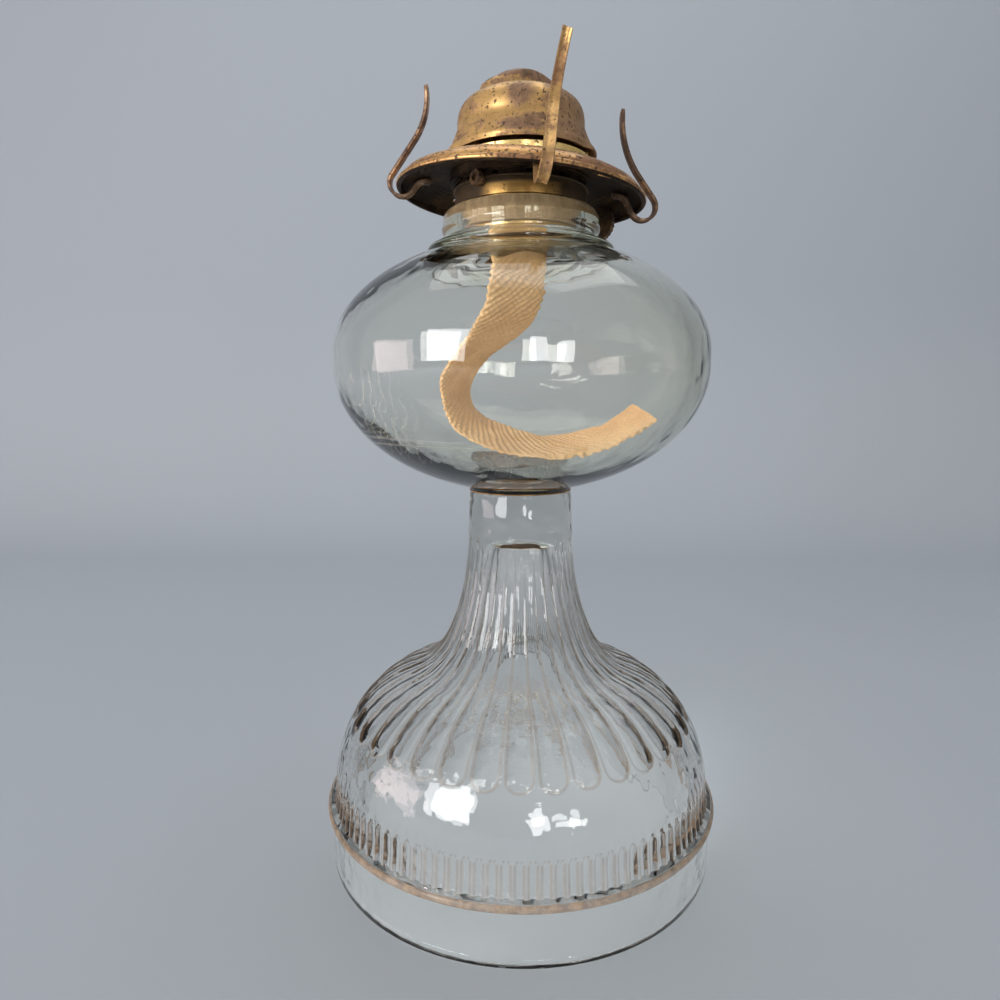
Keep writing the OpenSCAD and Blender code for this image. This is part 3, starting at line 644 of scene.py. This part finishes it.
def along(t, k):
    """Smooth curve through the wick's entries: k is 0 for its place and 1 for its width."""
    i, last = min(len(WICK_PATH) - 2, int(t)), len(WICK_PATH) - 1
    p, q, r, s = (np.array(WICK_PATH[min(last, max(0, i + d))][k], float) for d in (-1, 0, 1, 2))
    f = t - i
    bend, turn = 2 * p - 5 * q + 4 * r - s, 3 * q - p - 3 * r + s
    return 0.5 * (2 * q + (r - p) * f + bend * f * f + turn * f ** 3)


def unit(v):
    return v / np.linalg.norm(v)


def tape_reach(x, side, length, free):
    """How far a point of the tape lies across and out of its middle line; free is 0 inside the tube."""
    strand, slant = 2.5, 0.8 * x * WICK_W / 2
    one_way, other_way = (math.cos(2 * math.pi * (length + s) / strand) for s in (slant, -slant))
    relief = 0.36 * (0.72 * one_way + 0.28 * other_way) * free
    frayed = (0.25 * math.sin(length / 2.1) + 0.3 * math.sin(length * 2.3 + side)) * free
    thinner = 1 - 0.55 * abs(x) ** 8
    return x * (WICK_W / 2 - 0.3 + frayed * abs(x) ** 6), side * (WICK_T / 2 - 0.25 + relief) * thinner


def wick_mesh():
    """Flat braided cotton tape: two faces of slanting strands that cross over each other."""
    steps, across, tube_low = 560, 64, 200
    points, length, before = [], 0, None
    end = len(WICK_PATH) - 1
    for n in range(steps + 1):
        t = end * n / steps
        middle, width = along(t, 0), unit(along(t, 1))
        ahead = unit(along(min(t + 0.05, end), 0) - along(max(t - 0.05, 0), 0))
        width = unit(width - (width @ ahead) * ahead)
        out = np.cross(ahead, width)
        if before is not None:
            length += np.linalg.norm(middle - before)
        before = middle
        free = 0 if middle[2] > tube_low else 1
        for side in (-1, 1):
            for k in range(across):
                x = (1 - k / (across - 1) * 2) * side
                sideways, outwards = tape_reach(x, side, length, free)
                points.append(middle + width * sideways + out * outwards)
    ring = 2 * across
    faces = grid_faces(steps + 1, ring)
    faces += [tuple(range(ring))[::-1], tuple(range(steps * ring, (steps + 1) * ring))]
    piece = mesh_piece("wick_tape", points, faces, 70)
    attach(piece, "wick")
    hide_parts("wick")
    return piece, length


# Burner

def lean(points, az):
    """From the gallery's own frame, in which X is radial, to the lamp's."""
    p = np.asarray(points, float)
    turn = az - 90
    x = p[:, 0] * cos(turn) - p[:, 1] * sin(turn)
    y = p[:, 0] * sin(turn) + p[:, 1] * cos(turn)
    z = p[:, 2]
    return np.stack([x * cos(LEAN) + z * sin(LEAN), y, RIM_Z - x * sin(LEAN) + z * cos(LEAN)], axis=1)


def plate_point(a):
    """The plate's top line, an oval with fuller corners, at an angle from the rim."""
    return PLATE_C[0] + PLATE_RX * cos(a) ** (2 / PLATE_POWER), PLATE_TOP * sin(a) ** (2 / PLATE_POWER)


def plate_section():
    """The top line with three fine ridges, the hub's edge, the underside and the rolled rim."""
    ridge_h, ridge_w, ridges = 0.34, 0.36, (29.4, 31.3, 33.2)
    top = []
    for a in np.linspace(5, 89.9, 64):
        r, z = plate_point(a)
        top.append((r, z + sum(ridge_h * math.exp(-((r - at) / ridge_w) ** 2) for at in ridges)))
    hub = [(HUB_EDGE_R, PLATE_TOP), (HUB_EDGE_R, PLATE_TOP - SHEET)]
    under = [(r - 0.15, z - SHEET) for r, z in top[::-1]]
    return top + hub + under + arc((RIM_R, 0), RIM_T, 235, 500, 20)


def draft_tool(az):
    """A rounded triangle that points to the hub."""
    corner_r, half_turn = 0.8, 54
    outline = []
    for (x, y), a in (((-3.9, 0), 180), ((2.9, -7.4), -50), ((2.9, 7.4), 50)):
        outline += arc((DRAFT_R + x, y), corner_r, a - half_turn, a + half_turn, 6)
    tool = prism(outline, 0, PLATE_TOP + 5)
    points = np.array([v.co for v in tool.data.vertices]) / MM
    tool.data.vertices.foreach_set("co", (lean(points, az) * MM).ravel())
    return tool


def is_underside(face):
    """Whether a face of the plate looks down, or is the part of the rolled rim that turns inwards."""
    rolled_w, steep, level, slight = 1.2, 0.55, 0.05, 0.3
    radius = math.hypot(face.center.x, face.center.y) / MM
    inward = (face.center.x * face.normal.x + face.center.y * face.normal.y) / MM < -slight * radius
    if radius > RIM_R - rolled_w:
        return face.normal.z < -steep or (inward and face.normal.z < slight)
    return face.normal.z < -level


def gallery_mesh():
    """Dished plate with fine ridges, a rolled edge and triangular draft openings."""
    columns, section = 240, plate_section()
    points = lean(spun_points(section, columns), 90)
    plate = mesh_piece("gallery_plate", points, grid_faces(len(section), columns, closed_rows=True), 40)
    cut(plate, [draft_tool(az) for az in DRAFT_AZ])
    # Faces that look down, and the inward turn of the rolled rim, take the near-black underside brass:
    # painted shade.
    for face in plate.data.polygons:
        face.material_index = int(is_underside(face))
    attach(plate, "gallery")
    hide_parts("gallery")
    return plate


def seat_mesh():
    """The bright ring that carries the dome; its upper tube stops at the front, where the draft gap is."""
    columns, gap_az, tube_az = 240, 70, 78
    section = [(22.5, z) for z in (RING_LOW_Z, 221.8, 222.6, 223.4, 224)]
    section += [(22.2, 224.5), (21.6, 225.4), (21.78, 226.3), (21.95, 227.3), (21.99, 227.8)]
    section += [(21.5, RING_TOP_Z), (21.3, RING_TOP_Z), (21.25, RING_HIGH_Z), (20.95, RING_HIGH_Z)]
    section += [(20.9, RING_TOP_Z - 2), (20.9, RING_LOW_Z)]
    points = spun_points(section, columns)
    aside = np.tile(np.abs((np.arange(columns) * 360 / columns + 180) % 360 - 180), len(section))
    top = RING_TOP_Z + (RING_HIGH_Z - RING_TOP_Z) * smooth(aside, gap_az, tube_az)
    points[:, 2] = np.minimum(points[:, 2], top)
    seat = mesh_piece("dome_seat_ring", points, grid_faces(len(section), columns, closed_rows=True), 40)
    # Faces below the plate or facing inwards take the near-black underside brass: painted shade.
    for face in seat.data.polygons:
        outward = face.center.x * face.normal.x + face.center.y * face.normal.y > 0
        below_plate = face.center.z < (RIM_Z + PLATE_TOP - SHEET / 2) * MM - face.center.x * sin(LEAN)
        face.material_index = int(below_plate or not outward)
    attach(seat, "gallery")
    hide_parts("dome_seat")
    return seat


def dome_profile():
    """Rows of flared radius, radius at the front and height: a foot, a band and a full crown."""
    rows = [(23.9, 21.9, -0.3), (23.9, 21.9, 0.15), (23.5, 21.85, 0.8), (23.0, 21.9, 1.4), (22.7, 21.7, 1.75)]
    rows += [(22.35, 21.45, 2.3), (21.8, 21.25, 3.4), (21.1, 20.9, 5), (20.5, 20.42, 6.6)]
    for a in np.linspace(0, 89.2, 90):
        r = WALL_R * cos(a) ** (2 / CROWN_POWER)
        rows.append((r, r, WALL_Z + (CROWN_TOP - WALL_Z) * sin(a) ** (2 / CROWN_POWER)))
    return rows


def with_cap(x, y, z):
    """The height of the crown, or of the rounded cap over the slot where that is higher."""
    cap_half, cap_edge, cap_round, drop, blend = 6.8, 8.4, 20, 9, 0.9
    lengthways = x * sin(FEED_AZ) + y * cos(FEED_AZ)
    crossways = x * sin(FEED_AZ + 90) + y * cos(FEED_AZ + 90)
    reach = math.hypot(max(abs(lengthways) - cap_half, 0), crossways)
    away_squared = min(lengthways * lengthways + crossways * crossways, 0.75 * cap_round ** 2)
    top = CAP_TOP - (cap_round - math.sqrt(cap_round ** 2 - away_squared))
    cap = top - drop * float(smooth(reach, cap_edge - 1.2, cap_edge + 1.0)) ** 1.3
    close = max(blend - abs(cap - z), 0) / blend
    return max(cap, z) + close * close * blend / 4


def slot_outline():
    """The flame slot, round at both ends and turned like the wick."""
    half, end_r, turn = (WICK_W + 2) / 2, SLOT_W / 2, 90 - FEED_AZ
    outline = arc((half - end_r, 0), end_r, -90, 90, 18) + arc((end_r - half, 0), end_r, 90, 270, 18)
    return [(x * cos(turn) - y * sin(turn), x * sin(turn) + y * cos(turn)) for x, y in outline]


def dome_mesh():
    """Deflector dome with the raised flame slot; its foot's flare is left out at the front."""
    columns, cap_from_z, crown_z = 240, 12, 14
    plain_az, flared_az = 58, 72
    points = []
    for flared_r, front_r, z in dome_profile():
        for j in range(columns):
            az = 360 * j / columns
            aside = abs((az + 180) % 360 - 180)
            r = front_r + (flared_r - front_r) * float(smooth(aside, plain_az, flared_az))
            x, y = r * sin(az), -r * cos(az)
            height = with_cap(x, y, z) if z > cap_from_z else z
            dent = 0.12 * math.sin(3 * math.radians(az) + 1) * (1 if z < crown_z else 0.5)
            points.append((x * (1 + dent / 40), y * (1 + dent / 40), DOME_Z + height))
    rows = len(points) // columns
    faces = grid_faces(rows, columns)
    faces.append(tuple(range((rows - 1) * columns, rows * columns)))
    dome = mesh_piece("dome_shell", points, faces, 60)
    skin = dome.modifiers.new("skin", "SOLIDIFY")
    skin.thickness = SHEET * MM
    skin.offset = -1
    apply_modifiers(dome, [skin])
    cut(dome, [prism(slot_outline(), DOME_Z + 13, DOME_Z + CAP_TOP + 3)])
    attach(dome, "gallery")
    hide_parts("dome")
    return dome


def rivet_place():
    """Radius and height of the rivets on the plate's top line, and its slope there."""
    ahead, behind = plate_point(RIVET_A - 1), plate_point(RIVET_A + 1)
    return *plate_point(RIVET_A), math.degrees(math.atan2(behind[1] - ahead[1], ahead[0] - behind[0]))


def at_rivet(x, z):
    """Radius and height of a place x outwards along the plate from a rivet and z above it."""
    rivet_r, rivet_z, slope = rivet_place()
    return rivet_r + x * cos(slope) + z * sin(slope), rivet_z - x * sin(slope) + z * cos(slope)


def prong_path(dive_run, out, rise_run, bend_r, tip_turn):
    """The prong's middle line from its rivet: points and headings."""
    slope = rivet_place()[2]
    dive, loop_r, straight_steps, curve_steps = -58, 4.1, 6, 22
    stretches = [(2.9, 0), (3, dive + slope), (dive_run, 0), (loop_r, out - dive)]
    stretches += [(rise_run, 0), (bend_r, tip_turn)]
    point, heading = np.array([-1.3, 0.0]), 0.0
    path = [(point, heading)]
    for size, turn in stretches:
        for _ in range(curve_steps if turn else straight_steps):
            if turn:
                new = heading + turn / curve_steps
                way = math.copysign(1, turn)
                step = way * size * np.array([sin(new) - sin(heading), cos(heading) - cos(new)])
                heading = new
            else:
                step = size / straight_steps * np.array([cos(heading), sin(heading)])
            point = point + step
            path.append((point, heading))
    level = -SHEET - GAP - PRONG_T / 2
    return [(*at_rivet(x, z + level), heading - slope) for (x, z), heading in path]


def tip_width(name, count, i):
    """The front prong narrows a little towards its end, and the others end in a round tip."""
    if name == "prong_front":
        return 1 - 0.16 * float(smooth(i, count * 0.6, count - 1))
    return (0.4, 0.8, 0.95, 1)[min(count - 1 - i, 3)]


def prong_mesh(name, az, sway, *form):
    """Spring strip with slightly raised edges, a rounded end at the rivet and a slanted tip."""
    path = prong_path(*form)
    half, t = PRONG_W / 2, PRONG_T / 2
    section = [(-half, -t * 0.6), (-half + 0.25, -t), (0, -t), (half - 0.25, -t), (half, -t * 0.6),
               (half, t + 0.1), (half - 0.2, t + 0.3), (half - 0.5, t + 0.25), (half - 0.8, t), (0, t - 0.02),
               (-half + 0.8, t), (-half + 0.5, t + 0.25), (-half + 0.2, t + 0.3), (-half, t + 0.1)]
    points = []
    count, n = len(path), len(section)
    low, high = min(z for r, z, heading in path), path[-1][1]
    for i, (r, z, heading) in enumerate(path):
        wide = min(1, 0.45 + i * 0.2) * tip_width(name, count, i)
        bent = sway * (z - low) / (high - low) if i > count // 2 else 0
        for y, out in section:
            slant = -0.2 * y if i == count - 1 else 0
            points.append((r + sin(heading) * out + cos(heading) * slant, y * wide + bent,
                           z - cos(heading) * out + sin(heading) * slant))
    faces = grid_faces(count, n)
    faces += [tuple(range(n))[::-1], tuple(range((count - 1) * n, count * n))]
    piece = mesh_piece(name + "_strip", lean(points, az), faces, 50)
    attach(piece, name)
    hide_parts(name)
    return piece


def rivets_mesh():
    """Four rivets with rounded heads above and below the plate, set square to it."""
    columns, grip = 24, SHEET + 2 * GAP + PRONG_T + 0.05
    profile = [(0.01, 0.62), (0.6, 0.58), (1.1, 0.42), (1.45, 0.12), (1.45, 0), (0.8, 0)]
    profile += [(0.8, -grip), (1.2, -grip), (1.2, -grip - 0.15), (0.8, -grip - 0.42), (0.01, -grip - 0.5)]
    rivet = spun_points(profile, columns)
    rivet[:, 0], rivet[:, 2] = at_rivet(rivet[:, 0], rivet[:, 2])
    points, faces = [], []
    for form in PRONGS.values():
        faces += grid_faces(len(profile), columns, len(points) * len(rivet))
        points.append(lean(rivet, form[0]))
    piece = mesh_piece("rivet_heads", np.concatenate(points), faces, 40)
    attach(piece, "gallery")
    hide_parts("prong_rivets")
    return piece


# Camera, light and floor

def camera():
    focal_px, frame_px = 720, 1000
    away, height = 241.1, 153.2
    down, roll, pan = 7.79, 0.1, 1.61
    data = bpy.data.cameras.new("camera")
    data.sensor_width = 36
    data.lens = focal_px * data.sensor_width / frame_px
    data.clip_start = 0.01
    eye = bpy.data.objects.new("camera", data)
    eye.location = (0, -away * MM, height * MM)
    eye.rotation_euler = (math.radians(90 - down), math.radians(roll), math.radians(pan))
    bpy.context.scene.collection.objects.link(eye)
    bpy.context.scene.camera = eye


def area(name, where, aim, size, power, colour=(1, 1, 1)):
    data = bpy.data.lights.new(name, "AREA")
    data.shape = "RECTANGLE"
    data.size, data.size_y = size
    data.energy = power
    data.color = colour
    lamp = bpy.data.objects.new(name, data)
    lamp.location = where
    lamp.rotation_euler = (Vector(aim) - Vector(where)).to_track_quat("-Z", "Y").to_euler()
    bpy.context.scene.collection.objects.link(lamp)


def window(name, az, el, wide, high, level, colour=(1, 1, 1)):
    """A soft light seen from the lamp at an angle: az from the front towards the right, and el upwards."""
    away, middle = 1.4, Vector((0, 0, 0.12))
    at = middle + away * Vector((sin(az) * cos(el), -cos(az) * cos(el), sin(el)))
    size = (2 * away * math.tan(math.radians(wide / 2)), 2 * away * math.tan(math.radians(high / 2)))
    area(name, at, middle, size, level * math.pi * size[0] * size[1], colour)


def sweep():
    """Paper that runs along the floor and up behind the lamp, in metres."""
    wall_y, bend, front_y, top_z, side_x = 0.75, 0.3, -2.5, 3, 3
    section = [(front_y, 0), (wall_y - bend, 0)]
    section += [(wall_y - bend + bend * sin(a), bend - bend * cos(a)) for a in range(10, 91, 10)]
    section += [(wall_y, top_z)]
    points = [(x / MM, y / MM, z / MM) for y, z in section for x in (-side_x, side_x)]
    faces = [(2 * i, 2 * i + 1, 2 * i + 3, 2 * i + 2) for i in range(len(section) - 1)]
    paper = mesh_piece("floor_and_backdrop", points, faces, 60)
    paper.data.materials.append(backdrop("pale_paper", (0.5, 0.54, 0.59)))


def sky(colour, strength):
    world = bpy.data.worlds.new("world")
    bpy.context.scene.world = world
    world.use_nodes = True
    world.node_tree.nodes["Background"].inputs["Color"].default_value = (*colour, 1)
    world.node_tree.nodes["Background"].inputs["Strength"].default_value = strength


def studio():
    sweep()
    window("window_left", -75, 3, 28, 18, 3.5, (1, 0.82, 0.82))
    window("window_front_left", -41, 13, 24, 22, 9)
    window("window_front", 10, 7, 9, 11, 11)
    window("window_front_right", 25, 4, 9, 8, 11)
    area("overhead", (0.1, 0.3, 1.3), (0, 0.1, 0.1), (1.2, 1.0), 4.5)
    sky((0.4, 0.4, 0.39), 0.7)
    bpy.context.scene.view_settings.view_transform = "Standard"


# The lamp

def dress(node, material):
    """Gives a carried-over solid its material."""
    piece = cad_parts[node]
    piece.data.materials.clear()
    piece.data.materials.append(material)


camera()

pedestal_glass = glass("pressed_glass", (0.985, 0.985, 0.975), 40, (0.83, 0.83, 0.8), 90, 0.35,
                       chill_z=(0.043, 0.074), grime_and_edge_shade=pedestal_grime_and_edge_shade)
font_glass = glass("font_glass", (0.99, 0.99, 0.975), 48, (0.83, 0.84, 0.64), 60, 0.12, marks=font_marks)
dome_brass = brass("dome_brass", (0.88, 0.53, 0.2), (0.32, 0.18, 0.11), 0.42, 0.9, 0.36,
                   streak=0.5, metallic=0.6, tarnish_and_shade=brown_dome)
gallery_brass = brass("gallery_brass", (0.86, 0.48, 0.18), (0.32, 0.15, 0.07), 0.48, 1.3, 0.34,
                      streak=0.8, metallic=0.6)
# Near-black brass for the undersides and hidden faces: painted shade.
shaded_underside_brass = brass("shaded_underside_brass", (0.085, 0.05, 0.026), (0.024, 0.014, 0.008), 0.7, 1.0, 0.7,
                    metallic=0.25, specular=0.15)
prong_brass = brass("prong_brass", (0.84, 0.5, 0.19), (0.36, 0.18, 0.09), 0.55, 0.8, 0.32)
# A darker copy of the prong brass for the three prongs that face away from the front: painted shade.
shaded_prong_brass = brass("shaded_prong_brass", (0.5, 0.3, 0.17), (0.13, 0.075, 0.05), 0.66, 1.0, 0.34)
burner_brass = brass("burner_brass", (0.66, 0.45, 0.19), (0.26, 0.17, 0.09), 0.4, 0.4, 0.3)
# The cup's near-black oxide, laid on its sides and under its lip, is painted shade.
cup_brass_with_painted_shade = brass("cup_brass_with_painted_shade", (0.7, 0.4, 0.12), (0.03, 0.018, 0.01), 0.3, 0.6, 0.3, tarnish_and_shade=cup_side_shade_and_lip_band)
# Pale, half-metallic gold for the polished ring: its brightness is partly a painted reflection of a bright
# room.
ring_brass_painted_sheen = brass("ring_brass_painted_sheen", (1, 0.72, 0.27), (0.5, 0.28, 0.1), 0.15, 0.9, 0.24, metallic=0.45)
dark_brass = brass("dark_brass", (0.34, 0.2, 0.1), (0.1, 0.06, 0.045), 0.7, 1.0, 0.4)

pedestal_mesh().data.materials.append(pedestal_glass)
font_mesh().data.materials.append(font_glass)
wick, wick_length = wick_mesh()
wick.data.materials.append(cotton("wick_cotton"))
plate = gallery_mesh()
plate.data.materials.append(gallery_brass)
plate.data.materials.append(shaded_underside_brass)
seat = seat_mesh()
seat.data.materials.append(ring_brass_painted_sheen)
seat.data.materials.append(shaded_underside_brass)
dome_mesh().data.materials.append(dome_brass)
for name, form in PRONGS.items():
    prong_mesh(name, *form).data.materials.append(prong_brass if name == "prong_front" else shaded_prong_brass)
rivets_mesh().data.materials.append(dark_brass)

dress("stem_cement", amber("amber_cement"))
dress("collar_cement", plaster("plaster", (0.33, 0.23, 0.14), (0.22, 0.145, 0.085)))
dress("burner_cup", cup_brass_with_painted_shade)
for node in ("collar", "thread_shell", "wick_tube", "vent_tube", "sprocket_box", "sprocket_wheels"):
    dress(node, burner_brass)
# The basket and spring under the gallery take the near-black underside brass: painted shade.
for node in ("air_basket", "gallery_spring"):
    dress(node, shaded_underside_brass)
for node in ("shaft_ferrule", "wick_shaft", "thumb_wheel"):
    dress(node, dark_brass)

studio()
